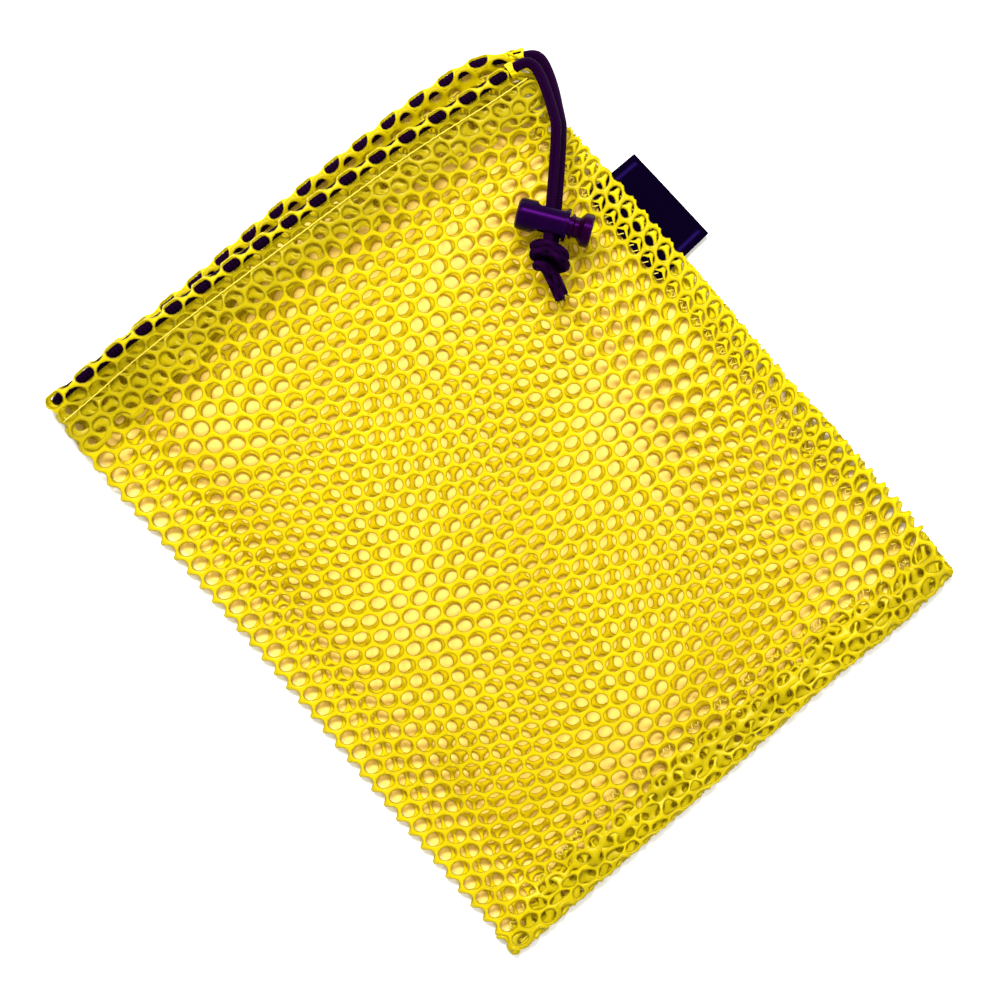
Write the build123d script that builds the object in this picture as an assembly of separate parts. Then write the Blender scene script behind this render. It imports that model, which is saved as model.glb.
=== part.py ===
from build123d import *
import os
from math import cos, pi, radians, sin, tan

# Drawstring mesh laundry bag, empty, lying flat on its back. Millimetres.
# Origin: centre of the back panel's underside. +X towards the label side, +Y towards the mouth, +Z up.
# The net is one sheet folded at the left edge, seamed along the right side and the bottom, with a hem
# casing round the mouth. The soft pieces are plain solids of their true size and place.

# ---- Driving dimensions ----
NET_T = 1.2  # thickness of the coated net
SEAM_STACK = 2.4  # height of the plies that the seams turn inside, between the panels
LOFT_H = 11.4  # height of the front panel's middle surface over the bag's middle
ALLOWANCE_SIDE = 12.0
ALLOWANCE_BOTTOM = 14.0
THREAD_R = 0.25

CORD_R = 1.9
CASING_W = 8.4  # hem casing, fold to stitch line
CASING_H = 5.8
CASING_WALL = 0.85
CASING_TAIL = 6.0  # allowance that continues below the hem's stitch line
CASING_TAIL_T = 0.9

LABEL_T = 0.8
LABEL_Z = 2.65

SLIDE_ANGLE = 45.0  # direction of the two strands where the cord lock slides
SLIDE_START = Vector(71.5, 57.95, 14.4)  # a point on the slide line, at the lock's height
STRAIGHT_END = 36.0  # the strands run straight up to here, from SLIDE_START
LOCK_AT = 5.0  # place of the lock on the slide line, at rest
KNOT_AT = -7.3  # place of the knot's middle on the slide line
LOCK_ANGLE = -54.5  # direction of the barrel, from its closed end to its button
STRAND_ACROSS = 1.0  # each strand's offset from the slide line, across and up or down
STRAND_UP = 1.74

BARREL_R = 5.6
BARREL_RIM_R = 5.9
BARREL_BORE_R = 4.45
BARREL_BACK = -12.7  # along the barrel, from the slide line
BARREL_MOUTH = 5.4
BARREL_END_WALL = 1.5
PLUNGER_R = 4.4
PLUNGER_BACK = -5.7
PLUNGER_TRAVEL = 2.0
BUTTON_R = 5.9
BUTTON_FACE = 13.8
SLOT_REACH = 4.2  # from the slide line to the slot edge that holds the strands
SLOT_HALF_H = 3.8
SPRING_R = 2.9
SPRING_WIRE_R = 0.3
SPRING_TURNS = 4
SPRING_GAP = 0.05

KNOT_R = 5.6
KNOT_L = 10.6
KNOT_ROUND = 1.6
TAIL_END = Vector(60.9, 39.4, 0)
TAIL_DROP = 2.0

# ---- Outline of the bag, as cross lines from the left fold to the right seam ----
# Each: y at x 0, rise of y per mm of x, left edge x, right edge x, kind of profile.
CROSS_LINES = [
    (-122.9, 0.018, -95.5, 103.6, "flat"),
    (-122.9 + ALLOWANCE_BOTTOM, 0.018, -96.2, 104.0, "flat"),
    (-84.0, 0.0, -96.9, 103.8, "lofted"),
    (0.0, 0.0, -96.8, 102.6, "lofted"),
    (92.0, -0.03, -99.6, 101.2, "lofted"),
    (105.8, -0.0614, -98.6, 101.0, "mouth"),
    (112.3, -0.0614, -98.2, 101.0, "mouth"),
]
PLATEAU = (-58.0, -10.0, 35.0)  # x of the front panel's highest stretch: start, middle and end

# ---- Drawcord route ----
FRONT_HEM_Z = 9.3  # casing centre at its ends
FRONT_HEM_TOP_Z = 13.8  # and over the open mouth
BACK_HEM_Z = CASING_H / 2
FOLD_BEND_R = (FRONT_HEM_Z - BACK_HEM_Z) / 2  # the cord's turn round the left fold
FOLD_SLACK = 0.05
HEM_BEND_SHARE = 0.1  # the hem's bends are slight and short
HEM_LEFT = (-92.0, 122.6)
FRONT_HEM_RIGHT = (98.5, 110.9)
FRONT_HEM_X = (-86.2, PLATEAU[0], PLATEAU[2], 89.0)  # where the front casing climbs and falls
BACK_HEM = [(30.0, 123.3), (86.0, 120.6), (104.6, 112.7)]
OUTER_ROUTE = [
    (104.6, 112.7, 2.9), (107.9, 111.3, 2.9), (109.4, 108.2, 3.2), (108.2, 103.2, 4.0),
    (105.4, 96.6, 6.2), (101.4, 89.6, 9.6),
]
INNER_ROUTE = [
    (98.5, 110.9, 9.3), (102.9, 110.63, 9.3), (105.2, 107.9, 9.6), (104.6, 103.0, 10.3),
    (102.0, 96.0, 12.2), (99.0, 89.4, 14.7),
]


def save(shape, name):
    """Write one node's STEP file."""
    os.makedirs("parts", exist_ok=True)
    shape.label = name
    export_step(shape, f"parts/{name}.step")


def corner_radii(points, share=0.45):
    """The largest radius that each corner of a route has room for."""
    radii = []
    for before, here, after in zip(points, points[1:], points[2:]):
        run_in, run_out = Vector(*here) - Vector(*before), Vector(*after) - Vector(*here)
        half_turn = radians(run_in.get_angle(run_out)) / 2
        radii.append(share * min(run_in.length, run_out.length) / tan(half_turn))
    return radii


def tube(points, radii, section, x_dir=None):
    """Sweep a flat section along straight runs joined by tangent arcs."""
    path = FilletPolyline(*points, radius=radii) if radii else Line(*points)
    start = Plane(origin=path @ 0, x_dir=x_dir, z_dir=path % 0)
    return sweep(start * section, path=path), path


def cord(name, points, radii=None):
    """A round cord along a route, with its radii, length and volume printed."""
    radii = corner_radii(points) if radii is None else radii
    solid, path = tube(points, radii, Circle(CORD_R))
    ideal = pi * CORD_R**2 * path.length
    print(name, "radii", [round(r, 1) for r in radii], "length", round(path.length, 1),
          "volume ratio", round(solid.volume / ideal, 4))
    return solid


def rod(points):
    """A thread along straight runs, with slightly rounded corners where it turns."""
    return tube(points, corner_radii(points, HEM_BEND_SHARE), Circle(THREAD_R))[0]


# ---- Panels ----
def profile_heights(kind):
    """Heights of the front panel's middle surface at the eight stations across the bag."""
    fold = 1.5 * NET_T
    edge = 1.5 * NET_T + SEAM_STACK
    beside_fold, shoulder, middle = {
        "flat": (fold, edge, edge),
        "lofted": (fold, edge, LOFT_H),
        "mouth": (FRONT_HEM_Z / 2, FRONT_HEM_Z, FRONT_HEM_TOP_Z),
    }[kind]
    return [fold, beside_fold, shoulder, middle, middle, middle, shoulder, shoulder]


def cross_section(middle_y, rise, left, right, kind):
    """The front panel's section on one cross line, as a closed ribbon one net thick."""
    stations = [left, left + 3, left + ALLOWANCE_SIDE, *PLATEAU, right - ALLOWANCE_SIDE, right]
    centre = [Vector(x, middle_y + rise * x, z) for x, z in zip(stations, profile_heights(kind))]
    half = Vector(0, 0, NET_T / 2)
    ribbon = [p + half for p in centre] + [p - half for p in reversed(centre)]
    return Face(Wire.make_polygon(ribbon))


def front_panel():
    return loft([cross_section(*line) for line in CROSS_LINES], ruled=True)


def edge_points(side):
    """The bag's corner points down one side, from the mouth to the bottom."""
    column = {"left": 2, "right": 3}[side]
    return [(line[column], line[0] + line[1] * line[column]) for line in reversed(CROSS_LINES)]


def back_panel():
    gap = CASING_W / 2 + 0.2
    left, right = edge_points("left"), edge_points("right")
    top = [(HEM_LEFT[0], HEM_LEFT[1] - gap)] + [(x, y - gap) for x, y in BACK_HEM[:-1]]
    outline = [(left[0][0], HEM_LEFT[1] - gap), *top, *right, *reversed(left[1:])]
    return extrude(make_face(Polyline(*outline, close=True)), NET_T)


def side_allowance():
    """The side seam's plies, turned inside along the right edge."""
    right = edge_points("right")[1:-1]
    inner = [(x - ALLOWANCE_SIDE, y) for x, y in reversed(right)]
    strip = make_face(Polyline(*right, *inner, close=True))
    return Pos(0, 0, NET_T) * extrude(strip, LABEL_Z - NET_T - 0.05)


def bottom_allowance():
    """The bottom seam's plies, turned inside along the bottom edge."""
    start = CROSS_LINES[0][2] + ALLOWANCE_SIDE
    ends = [(start, 0), (CROSS_LINES[0][3], 0), (CROSS_LINES[1][3], 1), (start, 1)]
    outline = [(x, CROSS_LINES[row][0] + CROSS_LINES[row][1] * x) for x, row in ends]
    return Pos(0, 0, NET_T) * extrude(make_face(Polyline(*outline, close=True)), SEAM_STACK)


def label():
    """A folded woven label that stands out of the side seam by a third of its width."""
    outline = [(91.0, 62.2), (112.2, 62.1), (114.3, 24.4), (91.0, 22.9)]
    return Pos(0, 0, LABEL_Z) * extrude(make_face(Polyline(*outline, close=True)), LABEL_T)


# ---- Hem casings ----
def front_hem_y(x):
    share = (x - HEM_LEFT[0]) / (FRONT_HEM_RIGHT[0] - HEM_LEFT[0])
    return HEM_LEFT[1] + share * (FRONT_HEM_RIGHT[1] - HEM_LEFT[1])


def front_hem_points(drop=0.0, lift=0.0):
    """The front casing's centre line, or a line parallel to it."""
    xs = [HEM_LEFT[0], *FRONT_HEM_X, FRONT_HEM_RIGHT[0]]
    low, high = FRONT_HEM_Z + lift, FRONT_HEM_TOP_Z + lift
    return [(x, front_hem_y(x) - drop, z) for x, z in zip(xs, [low, low, high, high, low, low])]


def back_hem_points(drop=0.0, lift=0.0):
    return [(x, y - drop, BACK_HEM_Z + lift) for x, y in [HEM_LEFT, *BACK_HEM]]


def casing_ring():
    outer = Ellipse(CASING_W / 2, CASING_H / 2)
    return outer - Ellipse(CASING_W / 2 - CASING_WALL, CASING_H / 2 - CASING_WALL)


def casing(points, tail_points):
    """A sleeve of net, from the left fold, and its turned-in allowance on the side of the bag."""
    fold_x = HEM_LEFT[0] - FOLD_BEND_R
    turn = [(fold_x, HEM_LEFT[1], (FRONT_HEM_Z + BACK_HEM_Z) / 2), (fold_x, HEM_LEFT[1], points[0][2])]
    route = [*turn, *points[1:]]
    radii = [FOLD_BEND_R - FOLD_SLACK, *corner_radii(route, HEM_BEND_SHARE)[1:]]
    sleeve = tube(route, radii, casing_ring(), x_dir=(0, 1, 0))[0]
    tail_x = -(CASING_W / 2 - CASING_WALL / 2) - CASING_TAIL / 2
    tail_z = -(CASING_H / 2 - NET_T - 0.05 - CASING_TAIL_T / 2)
    tail = Pos(tail_x, tail_z) * Rectangle(CASING_TAIL, CASING_TAIL_T)
    tail_radii = corner_radii(tail_points, HEM_BEND_SHARE)
    return sleeve + tube(tail_points, tail_radii, tail, x_dir=(0, 1, 0))[0]


def drawcord_in_hem():
    """The held length: along the front casing, round the left fold and back along the back casing."""
    front, back = front_hem_points(), back_hem_points()
    turn = [(HEM_LEFT[0] - FOLD_BEND_R, HEM_LEFT[1], z) for z in (FRONT_HEM_Z, BACK_HEM_Z)]
    points = [*reversed(front[1:]), *turn, *back[1:]]
    radii = corner_radii(points, HEM_BEND_SHARE)
    fold_at = len(front) - 2
    radii[fold_at] = radii[fold_at + 1] = FOLD_BEND_R - FOLD_SLACK
    return cord("drawcord_in_hem", points, radii)


# ---- Slide line, free strands, knot and tails ----
def heading(angle):
    return Vector(cos(radians(angle)), sin(radians(angle)), 0)


SLIDE_DIR = heading(SLIDE_ANGLE)
SLIDE_SIDE = heading(SLIDE_ANGLE - 90)
UP = Vector(0, 0, 1)
KNOT_CENTRE = SLIDE_START + SLIDE_DIR * KNOT_AT


def strand(name, route, sign):
    """A free strand: from the hem's end to the slide line, then straight to the knot's face."""
    offset = SLIDE_SIDE * (STRAND_ACROSS * sign) - UP * (STRAND_UP * sign)
    bend = SLIDE_START + SLIDE_DIR * STRAIGHT_END + offset
    end = KNOT_CENTRE + SLIDE_DIR * (KNOT_L / 2) + offset
    return cord(name, [*route, tuple(bend), tuple(end)])


def knot():
    """The knot's outer form: a short round drum with soft edges."""
    drum = Cylinder(KNOT_R, KNOT_L)
    drum = fillet(drum.edges().filter_by(GeomType.CIRCLE), KNOT_ROUND)
    return Plane(origin=KNOT_CENTRE, z_dir=SLIDE_DIR).location * drum


def tail(sign):
    """A short cord end that leaves the knot and droops towards the net."""
    start = KNOT_CENTRE + SLIDE_SIDE * (STRAND_ACROSS * sign) - UP * (STRAND_UP * sign)
    reach = TAIL_END - Vector(KNOT_CENTRE.X, KNOT_CENTRE.Y, 0)
    end = start + reach - UP * TAIL_DROP
    base = Plane(origin=start, z_dir=end - start)
    return extrude(base * Circle(CORD_R), (end - start).length) - knot()


# ---- Cord lock ----
# Its plane has z along the barrel, x through the cord slot and y up.
LOCK_PLANE = Plane(
    origin=SLIDE_START + SLIDE_DIR * LOCK_AT,
    x_dir=heading(LOCK_ANGLE + 90),
    z_dir=heading(LOCK_ANGLE),
)


def turned(profile):
    """A solid of revolution from points of radius and place along the barrel."""
    return revolve(make_face(Plane.XZ * Polyline(*profile, close=True)), axis=Axis.Z)


def cord_slot(low, high):
    """The rounded window that the two strands pass through."""
    window = Box(4 * BARREL_R, 2 * SLOT_HALF_H, high - low)
    window = fillet(window.edges().filter_by(Axis.X), 1.6)
    return Pos(0, 0, (low + high) / 2) * window


def barrel():
    rim_start = BARREL_MOUTH - 1.0
    shell = turned([
        (0, BARREL_BACK), (BARREL_R - 1.4, BARREL_BACK), (BARREL_R - 0.4, BARREL_BACK + 0.5),
        (BARREL_R, BARREL_BACK + 1.6), (BARREL_R, rim_start - 0.3), (BARREL_RIM_R, rim_start),
        (BARREL_RIM_R, BARREL_MOUTH), (BARREL_BORE_R, BARREL_MOUTH),
        (BARREL_BORE_R, BARREL_BACK + BARREL_END_WALL), (0, BARREL_BACK + BARREL_END_WALL),
    ])
    shell -= cord_slot(-SLOT_REACH - PLUNGER_TRAVEL, SLOT_REACH)
    return LOCK_PLANE.location * shell


def plunger():
    """A stem with the cord slot, a neck and a flared button with a dished face."""
    neck_r = PLUNGER_R - 0.7
    stem_end = SLOT_REACH + PLUNGER_TRAVEL + 0.8
    flare = BUTTON_FACE - 3.0
    body = turned([
        (0, PLUNGER_BACK), (PLUNGER_R, PLUNGER_BACK), (PLUNGER_R, stem_end),
        (neck_r, stem_end + 0.6), (neck_r, flare - 1.8), (BUTTON_R, flare),
        (BUTTON_R, BUTTON_FACE - 0.5), (BUTTON_R - 0.5, BUTTON_FACE), (BUTTON_R - 1.3, BUTTON_FACE),
        (2.0, BUTTON_FACE - 0.8), (0, BUTTON_FACE - 0.9),
    ])
    body -= cord_slot(-SLOT_REACH, SLOT_REACH + PLUNGER_TRAVEL)
    return LOCK_PLANE.location * body


def spring():
    low = BARREL_BACK + BARREL_END_WALL + SPRING_WIRE_R + SPRING_GAP
    high = PLUNGER_BACK - SPRING_WIRE_R - SPRING_GAP
    coil = Helix(pitch=(high - low) / SPRING_TURNS, height=high - low, radius=SPRING_R)
    wire = sweep(Plane(origin=coil @ 0, z_dir=coil % 0) * Circle(SPRING_WIRE_R), path=coil)
    return LOCK_PLANE.location * Pos(0, 0, low) * wire


# ---- Stitching ----
def seam_threads():
    """The seam stitching lies along the outer edges, the overlock along the allowances' inner edges."""
    right = edge_points("right")
    line_y, rise = CROSS_LINES[0][:2]
    inner_y = line_y + ALLOWANCE_BOTTOM
    left_x, right_x = CROSS_LINES[0][2] + ALLOWANCE_SIDE, CROSS_LINES[0][3]
    out, on_panel = THREAD_R + 0.05, NET_T + THREAD_R + 0.05
    seam_z = NET_T + SEAM_STACK / 2 - 0.1
    return {
        "side_seam_stitching": rod([(x + out, y, seam_z) for x, y in right[1:]]),
        "side_overlock_thread": rod([(x - ALLOWANCE_SIDE - out, y, on_panel) for x, y in right[1:-2]]),
        "bottom_seam_stitching": rod(
            [(x, line_y + rise * x - out, seam_z) for x in (left_x, right_x)]),
        "bottom_overlock_thread": rod(
            [(x, inner_y + rise * x + out, on_panel) for x in (left_x, right_x - 2 * ALLOWANCE_SIDE)]),
    }


def main():
    stitch = CASING_W / 2 + 0.6
    on_front = NET_T / 2 + THREAD_R + 0.05
    under_back = CASING_TAIL_T + NET_T + 0.1 + THREAD_R - BACK_HEM_Z
    nodes = {
        "mesh_front_panel": front_panel(),
        "mesh_back_panel": back_panel(),
        "hem_front": casing(front_hem_points(), front_hem_points()[1:]),
        "hem_back": casing(back_hem_points(), back_hem_points()),
        "side_seam_allowance": side_allowance(),
        "bottom_seam_allowance": bottom_allowance(),
        "hem_stitching_front": rod(front_hem_points(stitch, on_front)),
        "hem_stitching_back": rod(back_hem_points(stitch, under_back)),
        "label": label(),
        "drawcord_in_hem": drawcord_in_hem(),
        "drawcord_strand_outer": strand("drawcord_strand_outer", OUTER_ROUTE, 1),
        "drawcord_strand_inner": strand("drawcord_strand_inner", INNER_ROUTE, -1),
        "drawcord_knot": knot(),
        "drawcord_tail_outer": tail(1),
        "drawcord_tail_inner": tail(-1),
        "cord_lock_barrel": barrel(),
        "cord_lock_plunger": plunger(),
        "cord_lock_spring": spring(),
        **seam_threads(),
    }
    for name, shape in nodes.items():
        save(shape, name)


main()
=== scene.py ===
from math import cos, pi, radians, sin

import bpy
import numpy as np
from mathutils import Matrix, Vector


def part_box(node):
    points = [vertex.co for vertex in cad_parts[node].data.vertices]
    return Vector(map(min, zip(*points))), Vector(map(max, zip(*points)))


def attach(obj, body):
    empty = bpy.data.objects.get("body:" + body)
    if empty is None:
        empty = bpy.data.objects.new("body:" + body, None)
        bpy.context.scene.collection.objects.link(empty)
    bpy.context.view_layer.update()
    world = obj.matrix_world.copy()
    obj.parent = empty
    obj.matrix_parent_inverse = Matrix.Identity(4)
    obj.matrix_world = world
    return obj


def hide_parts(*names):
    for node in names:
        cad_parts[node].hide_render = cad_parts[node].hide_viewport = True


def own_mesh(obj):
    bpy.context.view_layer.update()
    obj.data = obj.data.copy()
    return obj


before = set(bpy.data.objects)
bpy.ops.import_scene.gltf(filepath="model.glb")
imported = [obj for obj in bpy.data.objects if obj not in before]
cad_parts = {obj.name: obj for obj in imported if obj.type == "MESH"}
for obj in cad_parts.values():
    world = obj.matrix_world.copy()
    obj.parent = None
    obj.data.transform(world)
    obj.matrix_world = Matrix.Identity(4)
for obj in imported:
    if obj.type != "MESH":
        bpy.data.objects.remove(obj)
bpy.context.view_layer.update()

MM = 0.001

# ==== The frame: the front hem's box, in millimetres ====


def box_mm(node):
    low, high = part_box(node)
    return np.array(low) / MM, np.array(high) / MM


FRONT_HEM_LOW, FRONT_HEM_HIGH = box_mm("hem_front")


def placed(name, data):
    made = bpy.data.objects.new(name, data)
    bpy.context.collection.objects.link(made)
    return made


# ==== Camera: straight above, its upward direction leaning from +Y towards +X ====

VIEW_WIDTH = 344.8  # of what the camera sees at the bag's height
LOOKED_AT_Z = 8
VIEW_TURN = -39.96  # degrees
LENS = 100.0
SENSOR = 36.0
camera_data = bpy.data.cameras.new("camera")
camera_data.lens = LENS
camera_data.sensor_width = SENSOR
camera = placed("camera", camera_data)
camera.location = (0, 0, (VIEW_WIDTH * LENS / SENSOR + LOOKED_AT_Z) * MM)
camera.rotation_euler = (0, 0, radians(VIEW_TURN))
bpy.context.scene.camera = camera

# ==== Materials ====


class Nodes:
    """A new material's node tree, with short calls to add and link nodes."""

    def __init__(self, name):
        self.material = bpy.data.materials.new(name)
        self.material.use_nodes = True
        self.tree = self.material.node_tree
        self.shader = self.tree.nodes["Principled BSDF"]

    def add(self, kind, **values):
        node = self.tree.nodes.new(kind)
        for key, value in values.items():
            if key in node.inputs:
                node.inputs[key].default_value = value
            else:
                setattr(node, key, value)
        return node

    def link(self, source, target):
        self.tree.links.new(source, target)

    def base_color(self, source):
        self.link(source, self.shader.inputs["Base Color"])

    def set(self, **values):
        for key, value in values.items():
            self.shader.inputs[key.replace("_", " ")].default_value = value

    def noise(self, scale, detail=3.0, roughness=0.5):
        coords = self.add("ShaderNodeTexCoord")
        made = self.add("ShaderNodeTexNoise", Scale=scale, Detail=detail, Roughness=roughness)
        self.link(coords.outputs["Object"], made.inputs["Vector"])
        return made.outputs["Fac"]

    def mark(self, name):
        """A value kept at the mesh's points."""
        return self.add("ShaderNodeAttribute", attribute_name=name).outputs["Fac"]

    def ramp(self, factor, stops):
        made = self.add("ShaderNodeValToRGB")
        elements = made.color_ramp.elements
        while len(elements) < len(stops):
            elements.new(0.5)
        for element, (place, color) in zip(elements, stops):
            element.position = place
            element.color = (*color, 1.0)
        self.link(factor, made.inputs["Fac"])
        return made.outputs["Color"]

    def mix(self, factor, source, color):
        made = self.add("ShaderNodeMix", data_type="RGBA")
        color_inputs = [socket for socket in made.inputs if socket.type == "RGBA"]
        color_inputs[1].default_value = (*color, 1.0)
        self.link(factor, made.inputs["Factor"])
        self.link(source, color_inputs[0])
        return next(socket for socket in made.outputs if socket.type == "RGBA")

    def let_through(self, color, share):
        """Part of the light goes on through the surface, tinted."""
        through_it = self.add("ShaderNodeBsdfTranslucent")
        through_it.inputs["Color"].default_value = (*color, 1.0)
        both = self.add("ShaderNodeMixShader")
        both.inputs["Fac"].default_value = share
        self.link(self.shader.outputs["BSDF"], both.inputs[1])
        self.link(through_it.outputs["BSDF"], both.inputs[2])
        self.link(both.outputs["Shader"], self.tree.nodes["Material Output"].inputs["Surface"])

    def roughness(self, factor, low, high):
        made = self.add("ShaderNodeMapRange")
        made.inputs["To Min"].default_value = low
        made.inputs["To Max"].default_value = high
        self.link(factor, made.inputs["Value"])
        self.link(made.outputs["Result"], self.shader.inputs["Roughness"])

    def bump(self, height, distance, strength=1.0):
        made = self.add("ShaderNodeBump", Strength=strength, Distance=distance)
        self.link(height, made.inputs["Height"])
        self.link(made.outputs["Normal"], self.shader.inputs["Normal"])


def vinyl_material(name, light, deep, wall_shade):
    """Glossy, translucent coated net: saturated yellow, a little deeper in patches, with a soft
    orange peel. The walls of the holes have painted olive shade."""
    nodes = Nodes(name)
    patches = nodes.noise(55.0, 4.0)
    flat = nodes.ramp(patches, [(0.3, deep), (0.7, light)])
    # painted shade: the colour is mixed towards the darker wall colour by the wall shade mark
    nodes.base_color(nodes.mix(nodes.mark("wall_shade"), flat, wall_shade))
    nodes.roughness(nodes.noise(900.0), 0.2, 0.36)
    nodes.bump(nodes.noise(1400.0, 2.0), 0.00008, 0.5)
    nodes.set(IOR=1.5, Specular_IOR_Level=0.35, Specular_Tint=(1.0, 0.9, 0.4, 1.0))
    nodes.let_through((0.9, 0.8, 0.0), 0.5)
    return nodes.material


def thread_material(name, dark, light):
    nodes = Nodes(name)
    twist = nodes.add("ShaderNodeTexWave", Scale=900.0, Distortion=1.0)
    coords = nodes.add("ShaderNodeTexCoord")
    nodes.link(coords.outputs["Object"], twist.inputs["Vector"])
    nodes.base_color(nodes.ramp(twist.outputs["Fac"], [(0.2, dark), (0.8, light)]))
    nodes.roughness(twist.outputs["Fac"], 0.5, 0.7)
    nodes.set(Sheen_Weight=0.2)
    return nodes.material


def cord_material():
    """Dark purple braided polyester: dull, with fine filaments, and a painted highlight on the braid's
    crests.
    """
    nodes = Nodes("braided_cord_finish")
    filaments = nodes.noise(3500.0, 3.0, 0.6)
    dark = nodes.ramp(filaments, [(0.35, (0.0003, 0.0001, 0.0004)), (0.75, (0.0016, 0.0003, 0.002))])
    nodes.base_color(nodes.mix(nodes.mark("crest_highlight"), dark, (0.012, 0.0006, 0.02)))
    nodes.roughness(filaments, 0.55, 0.8)
    nodes.bump(filaments, 0.0001, 0.5)
    nodes.set(Specular_IOR_Level=0.03, Specular_Tint=(0.6, 0.1, 1.0, 1.0))
    return nodes.material


def lock_material(name, dark, light):
    """Satin moulded plastic, cloudy in its colour, with a fine moulded grain."""
    nodes = Nodes(name)
    cloud = nodes.noise(220.0, 5.0)
    nodes.base_color(nodes.ramp(cloud, [(0.3, dark), (0.7, light)]))
    nodes.roughness(nodes.noise(1800.0, 4.0), 0.2, 0.3)
    nodes.bump(nodes.noise(2600.0, 2.0), 0.00003, 0.4)
    nodes.set(IOR=1.49, Specular_IOR_Level=0.13, Specular_Tint=(0.5, 0.03, 1.0, 1.0))
    return nodes.material


def spring_material():
    nodes = Nodes("spring_wire_finish")
    drawn = nodes.noise(2400.0, 2.0)
    nodes.base_color(nodes.ramp(drawn, [(0.3, (0.42, 0.42, 0.44)), (0.7, (0.66, 0.66, 0.68))]))
    nodes.roughness(drawn, 0.22, 0.4)
    nodes.set(Metallic=1.0)
    return nodes.material


def label_material():
    """Plain woven ribbon: warp and weft as crossed fine waves, with two violet woven border lines."""
    nodes = Nodes("woven_label_finish")
    coords = nodes.add("ShaderNodeTexCoord")
    warp = nodes.add("ShaderNodeTexWave", Scale=520.0, bands_direction="X")
    weft = nodes.add("ShaderNodeTexWave", Scale=700.0, bands_direction="Y")
    weave = nodes.add("ShaderNodeMath", operation="MULTIPLY")
    for wave in (warp, weft):
        nodes.link(coords.outputs["Object"], wave.inputs["Vector"])
    nodes.link(warp.outputs["Fac"], weave.inputs[0])
    nodes.link(weft.outputs["Fac"], weave.inputs[1])
    ground = nodes.ramp(weave.outputs["Value"],
                        [(0.1, (0.0006, 0.0001, 0.003)), (0.9, (0.002, 0.0003, 0.008))])
    nodes.base_color(nodes.mix(nodes.mark("border_line"), ground, (0.008, 0.003, 0.05)))
    nodes.roughness(weave.outputs["Value"], 0.5, 0.75)
    nodes.bump(weave.outputs["Value"], 0.00012, 0.8)
    nodes.set(Specular_IOR_Level=0.02, Specular_Tint=(0.3, 0.1, 1.0, 1.0))
    return nodes.material


def floor_material():
    """Plain pale floor, with the yellow light that the net throws on it painted into its colour under the
    bag.
    """
    nodes = Nodes("floor_with_painted_net_light")
    plain = nodes.ramp(nodes.noise(6.0), [(0.4, (0.93, 0.93, 0.9)), (0.6, (0.95, 0.95, 0.92))])
    nodes.base_color(nodes.mix(nodes.mark("under_bag_painted_light"), plain, NET_LIGHT_ON_FLOOR))
    nodes.set(Roughness=0.9)
    return nodes.material


NET_LIGHT_ON_FLOOR = (0.88, 0.61, 0.12)  # painted yellow light from the net, on the floor under the bag
VINYL_FRONT = vinyl_material("vinyl_net_front", (0.78, 0.635, 0.0), (0.68, 0.55, 0.0), (0.11, 0.09, 0.0))
# The back layer is painted lighter than the front, to make up for the shade that the front layer casts on
# it.
VINYL_BACK_PAINTED_LIGHT = vinyl_material("vinyl_net_back_painted_light", (0.95, 0.79, 0.0), (0.88, 0.71, 0.0), (0.15, 0.122, 0.0))
# The turned-in plies and the bottom fold edge are painted darker, for the shade they lie in inside the
# seams.
VINYL_PLY_PAINTED_SHADE = vinyl_material("vinyl_net_plies_painted_shade", (0.68, 0.55, 0.0), (0.52, 0.42, 0.0), (0.22, 0.18, 0.0))
THREAD = thread_material("sewing_thread_finish", (0.5, 0.39, 0.01), (0.7, 0.56, 0.015))
# The inner seams' thread is a darker copy of the same thread, painted shade for inside the bag.
INNER_THREAD_PAINTED_SHADE = thread_material("inner_thread_painted_shade", (0.4, 0.31, 0.01), (0.62, 0.5, 0.02))
CORD = cord_material()
LABEL = label_material()
LOCK = lock_material("cord_lock_finish", (0.002, 0.0001, 0.005), (0.005, 0.0002, 0.014))
BUTTON = lock_material("lock_button_finish", (0.005, 0.0001, 0.005), (0.011, 0.0002, 0.012))
SPRING = spring_material()

# ==== Mesh helpers ====


def plain_mesh(name, points_mm, faces, material, marks=()):
    """An object from points and faces. marks are named values kept at its points for its material."""
    mesh = bpy.data.meshes.new(name)
    faces = faces.tolist() if isinstance(faces, np.ndarray) else faces
    mesh.from_pydata((np.asarray(points_mm) * MM).tolist(), [], faces)
    mesh.materials.append(material)
    for mark, values in marks:
        mesh.attributes.new(mark, "FLOAT", "POINT").data.foreach_set("value", values)
    return placed(name, mesh)


def mesh_object(name, points_mm, faces, material, body="bag", marks=()):
    piece = plain_mesh(name, points_mm, faces, material, marks)
    piece.data.shade_smooth()
    piece.data.update()
    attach(piece, body)
    return piece


def thicken(piece, thickness):
    thick = piece.modifiers.new("thickness", "SOLIDIFY")
    thick.thickness = thickness * MM
    thick.offset = 0.0


def grid_faces(rows, columns):
    index = np.arange(rows * columns).reshape(rows, columns)
    corners = [index[:-1, :-1], index[1:, :-1], index[1:, 1:], index[:-1, 1:]]
    return np.stack(corners, axis=-1).reshape(-1, 4)


def tube_faces(rings, around):
    index = np.arange(rings * around).reshape(rings, around)
    after = np.roll(index, -1, 1)
    return np.stack([index[:-1], after[:-1], after[1:], index[1:]], axis=-1)


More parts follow.
